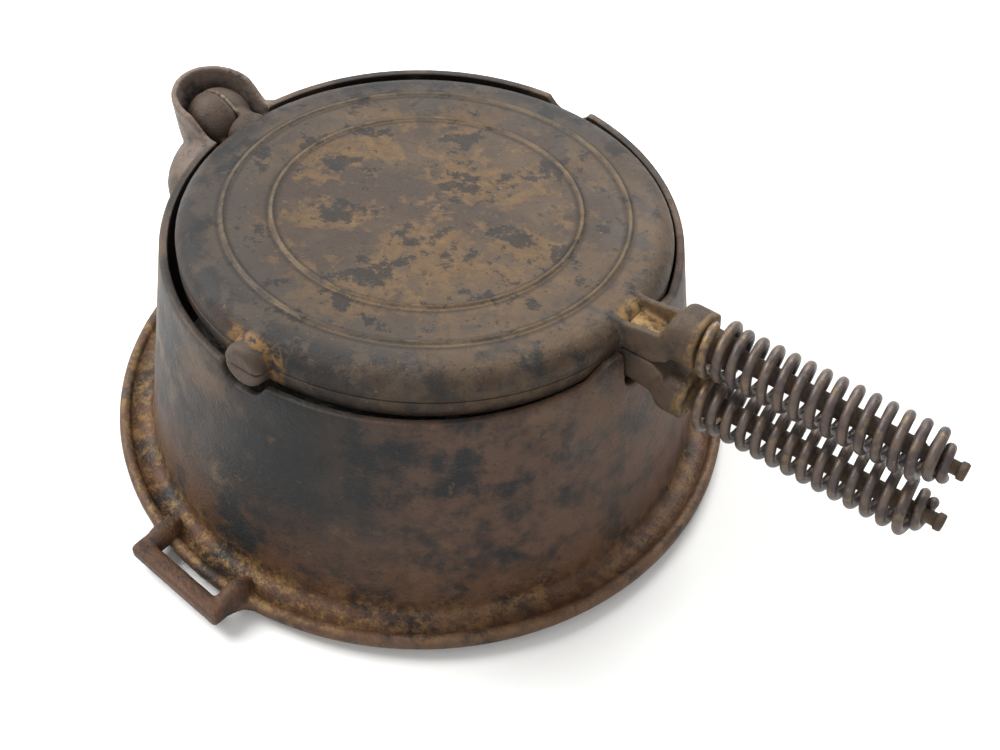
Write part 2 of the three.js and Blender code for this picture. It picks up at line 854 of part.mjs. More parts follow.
const stand = meshOf("base_stand", standCasting(), castIron("stand", 0x4c443c, 0.72));
const upperPan = meshOf("upper_pan", panCasting(-1, true), castIron("upper_pan", 0x6a5c4e, 0.6));
const lowerPan = meshOf("lower_pan", panCasting(1, false), castIron("lower_pan", 0x554b42, 0.66));
const upperCoil = meshOf("upper_coil_grip", coilWire(), castIron("upper_coil", 0x4d4340, 0.5));
const lowerCoil = meshOf("lower_coil_grip", coilWire(), castIron("lower_coil", 0x4d4340, 0.5));
console.log("least gap in a coil grip", leastWireGap().toFixed(2), "mm");

const upperHalf = new THREE.Group();
upperHalf.add(upperPan, upperCoil);

const lowerHalf = new THREE.Group();
lowerHalf.rotation.x = Math.PI;
lowerHalf.add(lowerPan, lowerCoil);

const pair = new THREE.Group();
pair.position.x = ballReach;
pair.add(upperHalf, lowerHalf);

const iron = new THREE.Group();
iron.position.set(-cupReach, 0, ballHeight);
iron.rotation.set(-THREE.MathUtils.degToRad(restTilt), -pitch, 0, "YXZ");
iron.add(pair);

const group = new THREE.Group();
group.add(stand, iron);
group.updateMatrixWorld(true);
const box = new THREE.Box3().setFromObject(group, true);
group.position.x = -(box.min.x + box.max.x) / 2;

export default group;
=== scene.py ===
import json
import math

import bpy
import numpy as np
from mathutils import Matrix, Vector


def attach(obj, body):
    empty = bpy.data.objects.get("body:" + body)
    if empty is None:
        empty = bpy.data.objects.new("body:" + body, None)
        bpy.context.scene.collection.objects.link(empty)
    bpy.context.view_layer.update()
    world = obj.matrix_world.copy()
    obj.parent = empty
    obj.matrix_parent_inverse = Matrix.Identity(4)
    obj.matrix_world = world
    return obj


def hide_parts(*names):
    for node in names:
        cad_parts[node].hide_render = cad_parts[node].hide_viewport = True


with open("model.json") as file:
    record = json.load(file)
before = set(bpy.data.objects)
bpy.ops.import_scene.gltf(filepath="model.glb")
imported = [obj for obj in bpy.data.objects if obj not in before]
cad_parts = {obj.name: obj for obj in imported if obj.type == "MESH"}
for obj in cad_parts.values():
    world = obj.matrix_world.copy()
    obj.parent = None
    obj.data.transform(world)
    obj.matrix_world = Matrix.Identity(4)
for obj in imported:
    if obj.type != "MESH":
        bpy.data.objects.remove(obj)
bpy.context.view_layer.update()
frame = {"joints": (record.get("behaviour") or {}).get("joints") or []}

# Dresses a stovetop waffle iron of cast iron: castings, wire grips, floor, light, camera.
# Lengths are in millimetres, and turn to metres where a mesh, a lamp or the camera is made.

MM = 0.001
JOINTS = {joint["name"]: joint for joint in frame["joints"]}
BALL_X, BALL_Z = (JOINTS["iron_open"]["pos_m"][i] / MM for i in (0, 2))

# Ring stand, from the ring's centre
CUP_X = -113.8
RING_X = BALL_X - CUP_X
RIM_Z, RIM_R, FOOT_R, WALL, EDGE = 103.2, 103.2, 121.3, 3.3, 0.9
FLANGE_R, FLANGE_Z, FLANGE_T, FLANGE_ROUND = 134.4, 4.5, 3.2, 1.2
BEAD_W, BEAD_H, FILLET = 5.0, 2.2, 4.5
BEAD_R = FLANGE_R - BEAD_W / 2
GUTTER_Z = FLANGE_Z + FLANGE_T
RING_STEPS = 480

# Notches in the rim, each within RIM_PART of an axis: one for the necks with a horn on
# each side of it, and one on each side of the ring for the stop lug
RIM_PART = 40.0
NOTCH_HALF, NOTCH_CORNER, NOTCH_FLOOR = 12.2, 5.0, 89.73
HORN_Z, HORN_FULL, HORN_RUN = 107.0, 20.2, 9.0
LUG_NOTCH_Z, LUG_NOTCH_RISE, LUG_NOTCH_HALVES = 96.5, 3.0, (4.5, 8.5, 11.0)

# Cup for the ball, and the bolster under it
SEAT_R, CUP_R, CUP_DEEPER, CUP_FLARE = 14.7, 17.6, 1.4, 1.0
LIP_Z, LIP_FALL, LIP_MIDDLE_R, LIP_EASE = 115.1, 5.8, 16.6, (-113.0, -101.0)
CHANNEL_HALF = 16.2
CUP_STEPS = 12
BOLSTER_Z, BOLSTER_HALF, BOLSTER_DEEP, BOLSTER_IN = 82.2, 41.0, 31.0, 11.0
BOLSTER_UP, BOLSTER_DOWN = 22.0, 34.0
BOLSTER_TAIL, BOLSTER_TAIL_HALVES = (24.0, 52.0), (29.0, 12.0)
HOLLOW = 5.0

# Lifting loops
LOOP_HALF, LOOP_BAR, LOOP_ROOT, LOOP_REACH, LOOP_Z = 24.8, 7.6, 128.5, 146.1, 8.7
LOOP_TURN = math.radians(-3.8)
LOOP_BLEND = 0.8
HUMP_HALVES, HUMP_Z = (4.8, 9.0, 5.0), 9.9
WEB_TURN, WEB_RISE = 8.0, 1.2

# Pans, from the parting plane and the pan's centre, and how the pair rests
BALL_REACH, BALL_R = 115.4, 14.3
TILT, PITCH = math.radians(3.8), math.radians(2.2)
REST_TURN = Matrix.Rotation(-PITCH, 3, "Y") @ Matrix.Rotation(-TILT, 3, "X")
HALF_GAP = 0.15
PAN_MIDDLE_X = BALL_X + BALL_REACH * math.cos(PITCH)
PAN_MIDDLE_Z = BALL_Z + BALL_REACH * math.sin(PITCH)
PAN_R, PAN_H, PAN_EDGE, SHOULDER = 97.5, 11.6, 3.6, 10.0
RECESS_R, RECESS_H, DRAFT = 90.5, 7.4, 2.0
RING_RADII, RING_W, RING_H = (79.4, 60.5), 2.8, 0.9
PEG_PITCH, PEG_FOOT, PEG_TIP, PEG_H, PEGS_ACROSS = 13.0, 9.6, 7.2, 4.8, 7
CROSS_FOOT, CROSS_TIP, CROSS_FLAT = 5.0, 2.0, 1.2
ROOTED = 0.4
LUG_R, LUG_REACH = 8.6, 104.3
ARM_R, BOSS_R, BOSS_X = 10.0, 10.6, -95.5

# Patches of wall that the small forms are cast on to, and how far they lie under the skin
SUNK = 0.35
RING_PATCH_LOW, RING_PATCH_SUNK = 30.0, 0.4
PAN_PATCH_IN, PAN_WALL_IN = 78.0, RECESS_R + 0.7

# Handle necks and tangs
NECK_HALF, RIB_T, RIB_END_H = 9.4, 2.8, 14.0
RIB_RISE = (97.5, 113.5)
TRAY_START, TRAY_END, NECK_END = 91.0, 108.0, 116.0
TRAY_START_H, TRAY_END_H, LEAST_FLOOR = 8.4, 5.6, 0.6
NECK_ROOT, NECK_ROOT_R, NECK_ROOT_Z = 98.0, 7.5, (2.5, 9.6)
COLLAR_X, COLLAR_FULL, COLLAR_END, COLLAR_HALF = 107.5, 116.0, 125.6, 9.3
GRIP_Z, TIP_X, HEAD_HALF = 12.8, 222.0, 3.3

# Wire grips
WIRE_D, COIL_D, SWELL = 3.8, 21.52, 1.6
CLOSE_TURNS, CLOSE_PITCH, OPEN_TURNS, OPEN_PITCH = 2, 5.3, 12, 6.03
TAPER_TURNS, END_TURNS, END_PITCH, END_R = 0.6, 0.9, 3.75, 5.0
WIRE_START_X = COLLAR_END + 0.3 + WIRE_D / 2

# Camera, worked out from the photo's circles and grips: place, then turn, pitch and roll
# in degrees, and lens on a sensor 36 mm wide
CAMERA_AT, CAMERA_TURNS, LENS, SENSOR_W = (194.9, -296.05, 446.5), (33.92, 48.63, 3.74), 46.16, 36
FLOOR_REACH = 1050.0

# Surfaces


def smooth_step(value, low, high):
    """0 below low, 1 above high, and an S curve between."""
    s = np.clip((value - low) / (high - low), 0, 1)
    return s * s * (3 - 2 * s)


def arc(x, y, radius, start, end, count):
    """Points on a circle about (x, y), between two angles in degrees, ends included."""
    a = np.radians(np.linspace(start, end, count))
    return np.stack([x + radius * np.cos(a), y + radius * np.sin(a)], -1)


def skin(grid, looped=False):
    """Closed mesh over a grid of rings: quads between neighbours, and each end ring
    closed by one face, or the last ring joined to the first where it is looped. All are
    turned round where the quads' signed volume about the origin is negative."""
    m, n = grid.shape[:2]
    rows = np.arange(m if looped else m - 1)
    i, k = np.meshgrid(rows, np.arange(n), indexing="ij")
    i2, k2 = (i + 1) % m, (k + 1) % n
    quads = np.stack([i * n + k, i * n + k2, i2 * n + k2, i2 * n + k], -1).reshape(-1, 4)
    faces = quads.tolist()
    if not looped:
        faces += [list(range(n))[::-1], list(range((m - 1) * n, m * n))]
    verts = grid.reshape(-1, 3)
    a, b, c, d = (verts[quads[:, j]] for j in range(4))
    volume = (np.cross(a, b) * c).sum() + (np.cross(a, c) * d).sum()
    return verts, [face[::-1] for face in faces] if volume < 0 else faces


def swung(profile, angle):
    """Points [radius, height] of a profile, swung about the Z axis by their angles."""
    r, z = profile[..., 0], profile[..., 1]
    return np.stack([r * np.cos(angle), r * np.sin(angle), z + 0 * angle], -1)


def revolve(profile, count):
    """Each point of a profile carried all the way round the Z axis in count steps."""
    return swung(profile[:, None], np.linspace(0, 2 * np.pi, count, endpoint=False))


def block(ring, start, end, axis):
    """Outline of points in the plane across an axis, drawn out from start to end on it."""
    rest = [i for i in range(3) if i != axis]
    grid = np.empty((2, len(ring), 3))
    grid[:, :, rest] = ring
    grid[0, :, axis], grid[1, :, axis] = start, end
    return skin(grid)


def stations(xs, rings):
    """Rings of [y, z] points, one at each x."""
    grid = np.empty((len(xs), len(rings[0]), 3))
    grid[:, :, 0] = np.asarray(xs, float)[:, None]
    grid[:, :, 1:] = rings
    return grid


def soft_box(y, z, half_y, half_z, power, count=40):
    """Rounded rectangle: |y| to a power plus |z| to a power is 1, in half widths."""
    a = np.linspace(0, 2 * np.pi, count, endpoint=False)
    c, s = np.cos(a), np.sin(a)
    shape = lambda v: np.sign(v) * np.abs(v) ** (2 / power)
    return np.stack([y + half_y * shape(c), z + half_z * shape(s)], -1)


def bar_stations(xs, middle_y, half_y, tops, bottoms, power):
    """Bar along X whose section at each x is a rounded box from a bottom to a top, and
    no thinner than the least floor."""
    rings = [
        soft_box(middle_y, (top + bottom) / 2, half_y, max(top - bottom, LEAST_FLOOR) / 2, power)
        for top, bottom in zip(tops, bottoms)
    ]
    return skin(stations(xs, rings))


def skin_moved(shell, turn, shift=(0, 0, 0)):
    """A closed mesh with its points times a turning matrix, plus a shift."""
    verts, faces = shell
    return verts @ turn + shift, faces


def joined(shells):
    """Several closed meshes as one list of points and faces."""
    verts, faces, start = [], [], 0
    for points, polygons in shells:
        verts.append(points)
        faces += [[start + i for i in face] for face in polygons]
        start += len(points)
    return np.concatenate(verts), faces


def mesh_object(name, verts, faces):
    """An object at the origin with a mesh of points in millimetres."""
    mesh = bpy.data.meshes.new(name)
    mesh.from_pydata((verts * MM).tolist(), [], faces)
    obj = bpy.data.objects.new(name, mesh)
    bpy.context.scene.collection.objects.link(obj)
    return obj


def cast_together(shells, cell_mm, rounds):
    """Overlapping closed shells made one skin of even cells, then eased, so that inner
    corners fill and outer ones wear round as a mould leaves them."""
    obj = mesh_object("melt", *joined(shells))
    cells = obj.modifiers.new("cells", "REMESH")
    cells.mode = "VOXEL"
    cells.voxel_size = cell_mm * MM
    ease = obj.modifiers.new("ease", "SMOOTH")
    ease.factor = 0.5
    ease.iterations = rounds
    made = obj.evaluated_get(bpy.context.evaluated_depsgraph_get()).to_mesh()
    flat = np.empty(3 * len(made.vertices))
    made.vertices.foreach_get("co", flat)
    faces = [list(p.vertices) for p in made.polygons]
    bpy.data.objects.remove(obj)
    return flat.reshape(-1, 3) / MM, faces


def piece(name, shells, material, body, slot, node):
    """A finished piece from its shells: smooth, on its body, in a node's place."""
    obj = mesh_object(name, *joined(shells))
    obj.data.polygons.foreach_set("use_smooth", np.ones(len(obj.data.polygons), bool))
    obj.data.materials.append(material)
    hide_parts(node)
    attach(obj, body)


# Stand


def wall_radius(z):
    """Outer radius of the cone at a height."""
    return RIM_R + (FOOT_R - RIM_R) * (1 - z / RIM_Z)


def rim_height(x, y):
    """Top of the wall: level, with a U notch and two horns for the necks, a shallow
    notch on each side for the stop lug, and a round channel for the ball's arm."""
    along, across = np.abs(x), np.abs(y)
    horn = RIM_Z + (HORN_Z - RIM_Z) * (1 - np.clip((across - HORN_FULL) / HORN_RUN, 0, 1))
    bend = np.clip(across - (NOTCH_HALF - NOTCH_CORNER), 0, NOTCH_CORNER)
    floor = NOTCH_FLOOR + NOTCH_CORNER - np.sqrt(NOTCH_CORNER ** 2 - bend ** 2)
    step = smooth_step(across, NOTCH_HALF - 0.1, NOTCH_HALF + 0.5)
    front = floor * (1 - step) + horn * step
    lug_notch = (LUG_NOTCH_Z, LUG_NOTCH_Z + LUG_NOTCH_RISE, RIM_Z)
    side = np.interp(along, LUG_NOTCH_HALVES, lug_notch)
    cut = np.sqrt(np.clip(SEAT_R ** 2 - across ** 2, 0, None))
    back = np.where(across < CHANNEL_HALF, BALL_Z - cut, RIM_Z)
    on_x, on_y = across < RIM_PART, along < RIM_PART
    return np.select([(x > 0) & on_x, on_y, on_x], [front, side, back], RIM_Z)


def bolster_radius(angle, z):
    """Outer radius over the bolster: half an upright egg, wide above and drawn out
    below, squeezed towards the wall. Its depth is found at each distance aside, which
    follows from the radius, so the two are worked out in turn."""
    above, below = z - BOLSTER_Z, BOLSTER_Z - z
    top = np.sqrt(np.clip(1 - (above / BOLSTER_UP) ** 2, 0, 1))
    belly = np.sqrt(np.clip(1 - (below / BOLSTER_DOWN) ** 2, 0, 1))
    tail = np.interp(below, BOLSTER_TAIL, [half / BOLSTER_HALF for half in BOLSTER_TAIL_HALVES])
    share = np.where(above > 0, top, np.where(below < BOLSTER_TAIL[0], belly, tail))
    half = BOLSTER_HALF * share
    centre = wall_radius(BOLSTER_Z) - BOLSTER_IN
    aside = np.minimum(np.abs(np.angle(np.exp(1j * (angle - np.pi)))), 1)
    radius = wall_radius(z)
    for _ in range(4):
        depth = np.sqrt(np.clip(half ** 2 - (radius * np.sin(aside)) ** 2, 0, None))
        radius = (centre + BOLSTER_DEEP / BOLSTER_HALF * depth) / np.cos(aside)
    return np.where(wall_radius(z) * np.sin(aside) < half, radius, 0)


def outer_radius(angle, z):
    """Wall and bolster with a soft hollow of a few millimetres where they meet."""
    wall, egg = wall_radius(z), bolster_radius(angle, z)
    near = np.clip(1 - np.abs(wall - egg) / HOLLOW, 0, 1)
    return np.maximum(wall, egg) + HOLLOW / 4 * near ** 2


def steps_about(places, spread, count):
    """Even steps from a spread before each place to a spread after it."""
    return np.concatenate([np.linspace(at - spread, at + spread, count) for at in places])


def ring_angles():
    """Even steps round the ring, with more where the rim drops steeply."""
    even = np.linspace(0, 2 * np.pi, RING_STEPS, endpoint=False)
    notch = steps_about((-NOTCH_HALF - 0.2, NOTCH_HALF + 0.2), 0.8, 13)
    channel = steps_about((-CHANNEL_HALF, CHANNEL_HALF), 0.8, 9)
    steep = [np.arcsin(notch / RIM_R), np.pi - np.arcsin(channel / RIM_R)]
    return np.unique(np.concatenate([even] + steep) % (2 * np.pi))


def rim_at(angle):
    """Top of the wall at an angle round the ring."""
    return rim_height(RIM_R * np.cos(angle), RIM_R * np.sin(angle))


def stand_ring():
    """Closed profile carried round the ring: inner side, rounded crown, outer side with
    the bolster, then gutter, bead, flange and foot. The first three move by angle."""
    angle = ring_angles()[:, None]
    top = rim_at(angle)
    inner_z = np.linspace(0, 1, 16)[None, :] * (top - EDGE)
    inner = np.stack([wall_radius(inner_z) - WALL, inner_z], -1)
    turn = np.radians(np.linspace(180, 0, 9)[1:-1])[None, :]
    flat = (WALL / 2 - EDGE) * np.sign(np.round(np.cos(turn), 6))
    reach = wall_radius(top) - WALL / 2 + flat + EDGE * np.cos(turn)
    crown = np.stack([reach, top - EDGE + EDGE * np.sin(turn)], -1)
    fillet_top = GUTTER_Z + FILLET
    outer_z = top - EDGE + np.linspace(0, 1, 36)[None, :] * (fillet_top - top + EDGE)
    outer = np.stack([outer_radius(angle, outer_z), outer_z], -1)
    gutter = arc(wall_radius(fillet_top) + FILLET, fillet_top, FILLET, 180, 270, 6)[1:]
    bead = arc(0, 0, 1, 180, 0, 9) * [BEAD_W / 2, BEAD_H] + [BEAD_R, GUTTER_Z]
    corner = FLANGE_R - FLANGE_ROUND, FLANGE_Z + FLANGE_ROUND
    flange = arc(*corner, FLANGE_ROUND, 0, -90, 4)
    under = [[wall_radius(FLANGE_Z) + 0.5, FLANGE_Z], [wall_radius(FLANGE_Z), FLANGE_Z - 0.5]]
    foot = [[FOOT_R, 0.6], [FOOT_R - 0.5, 0], [FOOT_R - WALL + 0.5, 0]]
    fixed = np.concatenate([gutter, bead, flange, under, foot])
    fixed = np.broadcast_to(fixed, (len(angle),) + fixed.shape)
    return skin(swung(np.concatenate([inner, crown, outer, fixed], 1), angle), looped=True)


def lip_height(x):
    """Top of the cup's wall: falls gently from its back, then sinks to the ring's rim."""
    back = CUP_X - CUP_R - CUP_FLARE
    slope = LIP_Z - LIP_FALL * (x - back) / (-RIM_R + WALL - back)
    return slope - (slope - RIM_Z - 0.5) * smooth_step(x, *LIP_EASE)


def cup_section(lip):
    """Half section of the cup from its axis: outer bell and flared lip, then the seat."""
    bell = arc(0, BALL_Z, CUP_R, -90, 0, CUP_STEPS)
    bell[:, 1] -= CUP_DEEPER * np.sin(np.radians(np.linspace(90, 0, CUP_STEPS)))
    tip, mouth = CUP_R + CUP_FLARE, SEAT_R + CUP_FLARE
    edge = [[tip, lip - EDGE], [tip - EDGE, lip], [mouth + 0.5, lip], [mouth, lip - 0.5]]
    return np.concatenate([bell, edge]), arc(0, BALL_Z, SEAT_R, 0, -90, CUP_STEPS)


def cup():
    """The half section turned about the ball's axis, then drawn on to the ring."""
    rings = []
    for turn in np.radians(np.linspace(90, 270, 37)):
        section = np.concatenate(cup_section(lip_height(CUP_X + LIP_MIDDLE_R * math.cos(turn))))
        rings.append(swung(section + [0.02, 0], turn) + [CUP_X, 0, 0])
    xs = np.linspace(CUP_X - 0.3, WALL - RIM_R, 14)
    walls = []
    for x in xs:
        outer, inner = cup_section(lip_height(x))
        walls.append(np.concatenate([outer * [-1, 1], inner * [-1, 1], inner[:0:-1], outer[:0:-1]]))
    channel = stations(xs, walls)
    channel[-1, :, 0] = -np.sqrt((RIM_R - WALL) ** 2 - channel[-1, :, 1] ** 2)
    return [skin(np.array(rings)), skin(channel)]


def ring_patch():
    """Part of the wall round the cup, sunk a little, for the cup to be cast on to."""
    angle = np.pi + np.linspace(-0.44, 0.44, 70)[:, None]
    top = rim_at(angle) - RING_PATCH_SUNK
    z = RING_PATCH_LOW + np.linspace(0, 1, 40)[None, :] * (top - RING_PATCH_LOW)
    outer = np.stack([outer_radius(angle, z) - SUNK, z], -1)
    inner = np.stack([wall_radius(z) - WALL + 0.5, z], -1)[:, ::-1]
    return skin(swung(np.concatenate([outer, inner], 1), angle))


def loop_shells(side):
    """Three bevelled bars, two webs with a hollow curve, and two humps where the bars
    cross the bead. All are turned back with the loop, and half round for the far one."""
    bar = soft_box(0, 0, LOOP_BAR / 2, LOOP_BAR / 2, 5, 32)
    mid, reach, width = LOOP_HALF - LOOP_BAR / 2, LOOP_REACH - LOOP_BLEND, LOOP_HALF - LOOP_BLEND
    shells = [block(bar + [end * mid, LOOP_Z], LOOP_ROOT, reach, 1) for end in (-1, 1)]
    shells.append(block(bar + [LOOP_REACH - LOOP_BAR / 2, LOOP_Z], -width, width, 0))
    egg = revolve(arc(0, 0, 1, -88, 88, 17), 24) * HUMP_HALVES
    shells += [skin(egg + [end * mid, BEAD_R, HUMP_Z]) for end in (-1, 1)]
    x = LOOP_HALF + WEB_TURN
    y = math.sqrt((FLANGE_R + WEB_TURN) ** 2 - x ** 2)
    curve = arc(x, y, WEB_TURN, 180, 180 + math.degrees(math.atan2(y, x)), 8)
    end_x, end_y = curve[-1]
    web = np.concatenate([[[mid, y]], curve, [[end_x, end_y - BEAD_W], [mid, end_y - BEAD_W]]])
    shells += [block(web * [end, 1], FLANGE_Z, GUTTER_Z + WEB_RISE, 2) for end in (-1, 1)]
    c, s = math.cos(LOOP_TURN), math.sin(LOOP_TURN)
    spin = side * np.array([[c, s, 0], [-s, c, 0], [0, 0, side]])
    return [skin_moved(shell, spin) for shell in shells]


def stand_casting(material):
    """Ring, cup and loops of the stand, moved to where the frame has them."""
    shells = [stand_ring(), cast_together(cup() + [ring_patch()], cell_mm=0.8, rounds=10)]
    shells += [cast_together(loop_shells(side), cell_mm=0.8, rounds=6) for side in (-1, 1)]
    moved = [skin_moved(shell, np.eye(3), (RING_X, 0, 0)) for shell in shells]
    piece("stand_casting", moved, material, "base", "stand_iron", "base_stand")


# Pans


def shoulder_curve(sunk, count):
    """Quarter of an ellipse from the pan's edge to its flat outer face, set in a little."""
    a = np.radians(np.linspace(0, 90, count))
    rise = PAN_H - sunk - PAN_EDGE
    r = PAN_R - SHOULDER + (SHOULDER - sunk) * np.cos(a)
    return np.stack([r, PAN_EDGE + rise * np.sin(a)], -1)


def pan_disc():
    """Round pan: rings and shoulder outside, a drafted recess inside. Each ring's hump
    is a cosine to a power, so that its foot runs out softly."""
    hump = np.linspace(1, -1, 13)
    crest = np.cos(hump * np.pi / 2) ** 1.3 * RING_H
    rings = [np.stack([r + hump * RING_W / 2, PAN_H + crest], -1) for r in RING_RADII]
    levels = [
        np.stack([np.linspace(start, end, count), np.full(count, PAN_H)], -1)
        for start, end, count in ((86, 81.2, 5), (77.5, 62.5, 12), (58.5, 1, 30))
    ]
    foot = RECESS_R - DRAFT
    recess = [[1, RECESS_H], [foot - 0.8, RECESS_H], [foot, RECESS_H - 0.8]]
    mouth = [[RECESS_R - 0.2, HALF_GAP + 0.4], [RECESS_R + 0.3, HALF_GAP]]
    edge = arc(PAN_R - 0.6, HALF_GAP + 0.6, 0.6, -90, 0, 4)
    outside = [shoulder_curve(0, 16), levels[0], rings[0], levels[1], rings[1], levels[2]]
    return skin(revolve(np.concatenate([recess, mouth, edge] + outside), 320))


def waffle_pegs():
    """Drawn-in square pegs at even pitch in four quarters, and a cross of low bars."""
    reach = RECESS_R - DRAFT - 1.2
    low = RECESS_H - PEG_H
    first = CROSS_FOOT / 2 + (PEG_PITCH - PEG_FOOT) + PEG_FOOT / 2
    line = first + PEG_PITCH * np.arange(PEGS_ACROSS)
    line = np.concatenate([-line[::-1], line])
    x, y = (v.ravel() for v in np.meshgrid(line, line))
    inside = np.hypot(np.abs(x) + PEG_TIP / 2, np.abs(y) + PEG_TIP / 2) < reach
    levels = (
        (RECESS_H + ROOTED, PEG_FOOT),
        (low + 0.6, PEG_TIP + 0.4),
        (low + 0.1, PEG_TIP - 0.3),
        (low, PEG_TIP - 1.2),
    )
    rings = np.array([
        np.column_stack([soft_box(0, 0, w / 2, w / 2, 7, 12), np.full(12, z)]) for z, w in levels
    ])
    pegs = [skin(rings + [px, py, 0]) for px, py in zip(x[inside], y[inside])]
    side = np.array([
        [CROSS_FOOT / 2, RECESS_H + ROOTED],
        [CROSS_TIP / 2, low + 0.2],
        [CROSS_FLAT / 2, low],
    ])
    wedge = np.concatenate([side[:1] * [-1, 1], side, side[:0:-1] * [-1, 1]])
    return pegs + [block(wedge, -reach, reach, axis) for axis in (0, 1)]


def pan_patch(middle, half):
    """Part of the pan's shoulder, sunk a little, for lugs and arms to be cast on to."""
    rim = [[PAN_WALL_IN, 0.5], [PAN_R - SUNK, 0.5]]
    inner_low = RECESS_H + 0.6
    inner = [[PAN_PATCH_IN, PAN_H - SUNK], [PAN_PATCH_IN, inner_low], [PAN_WALL_IN, inner_low]]
    profile = np.concatenate([rim, shoulder_curve(SUNK, 12), inner])
    return skin(swung(profile[None], middle + np.linspace(-half, half, 40)[:, None]))


def half_ball():
    """Half sphere on the far side of the joint's middle plane, its rim worn round."""
    rim = arc(BALL_R - 1.2, HALF_GAP + 0.9, 0.9, -90, 0, 5)
    dome = arc(0, 0, BALL_R, 8, 88, 22)
    grid = revolve(np.concatenate([[[1, HALF_GAP]], rim, dome]), 64)
    return skin(grid[..., [0, 2, 1]] + [-BALL_REACH, 0, 0])


def boss():
    """Dome about the boss's centre above the parting plane. Along each direction it
    ends at its own radius, or before the seat of the other half's ball."""
    up = np.radians(np.linspace(0, 89, 28))[:, None]
    around = np.linspace(0, 2 * np.pi, 72, endpoint=False)[None, :]
    flat = np.cos(up)
    ray = np.stack([flat * np.cos(around), flat * np.sin(around), np.sin(up) + 0 * around], -1)
    to_ball = np.array([-BALL_REACH - BOSS_X, 0, 0])
    nearest = ray @ to_ball
    miss = to_ball @ to_ball - nearest ** 2
    hit = nearest - np.sqrt(np.clip(SEAT_R ** 2 - miss, 0, None))
    blocked = (miss < SEAT_R ** 2) & (nearest > 0) & (ray[..., 1] < 0.02)
    reach = np.where(blocked, np.minimum(hit, BOSS_R), BOSS_R)
    return skin(ray * reach[..., None] + [BOSS_X, 0, HALF_GAP])


def arm():
    """Quarter round bar between the half ball and the pan, on the half's own side."""
    bend = arc(HALF_GAP, HALF_GAP, ARM_R - HALF_GAP, 0, 90, 14)
    quarter = np.concatenate([[[HALF_GAP, HALF_GAP]], bend])
    return block(quarter, -BALL_REACH, -PAN_WALL_IN, 0)


def lug():
    """Half round stop lug: half discs along -Y that swell at the root and close at the end."""
    out = np.array([91.4, 94.5, 96.8, 98.2, 101.2, 102.4, 103.3, 104.0, LUG_REACH])
    radius = LUG_R + np.array([2.6, 1.3, 0.4, 0, 0, -0.15, -0.7, -1.4, -2.3])
    a = np.radians(np.linspace(0, 180, 25))
    x = radius[:, None] * np.cos(a)
    z = HALF_GAP + (radius[:, None] - HALF_GAP) * np.sin(a)
    return skin(np.stack([x, -out[:, None] + 0 * x, z], -1))


def neck_tray():
    """Two ribs and the sloping floor between them, under the pan's flat at their start,
    and the sloped end of the tray in the pan."""
    rib_y = NECK_HALF - RIB_T / 2
    xs = np.array([85, 97.5, 104, 110, NECK_END])
    rib_top = np.interp(xs, RIB_RISE, (PAN_H, RIB_END_H))
    bottom = np.interp(xs, (110, 113.5, NECK_END), (HALF_GAP, HALF_GAP, 3.5))
    bottom = np.where(xs < TRAY_START, RECESS_H + 0.5, bottom)
    floor_top = np.interp(xs, (TRAY_START, TRAY_END), (TRAY_START_H, TRAY_END_H))
    shells = [bar_stations(xs, y, RIB_T / 2, rib_top, bottom, 6) for y in (-rib_y, rib_y)]
    shells.append(bar_stations(xs, 0, NECK_HALF, floor_top, bottom, 8))
    back, low, high = 84, 6, PAN_H - 0.2
    slope = [[TRAY_START, low], [back, low], [back, high], [TRAY_START - 1.5, high]]
    return shells + [block(np.array(slope), -NECK_HALF, NECK_HALF, 1)]


def neck_shells():
    """The tray with a hollow fillet on each side of its root, and the ramped collar."""
    shells = neck_tray()
    outer = NECK_HALF + NECK_ROOT_R
    bend = arc(NECK_ROOT, outer, NECK_ROOT_R, 180, 270, 9)
    root = np.concatenate([bend, [[NECK_ROOT, 7], [86, 7], [86, outer]]])
    shells += [block(root * [1, side], *NECK_ROOT_Z, 2) for side in (-1, 1)]
    share = np.array([0, 0.25, 0.5, 0.75, 1, 1.6])
    xs = COLLAR_X + (COLLAR_FULL - COLLAR_X) * share
    xs = np.concatenate([xs, [COLLAR_END - 0.4, COLLAR_END]])
    low = GRIP_Z - COLLAR_HALF
    rings = []
    for up in (0.15, 0.42, 0.7, 0.92, 1, 1, 1, 0.96):
        half_y, half_z = NECK_HALF * min(up + 0.6, 1), COLLAR_HALF * up
        rings.append(soft_box(0, low + half_z, half_y, half_z, 3.6))
    return shells + [skin(stations(xs, rings))]


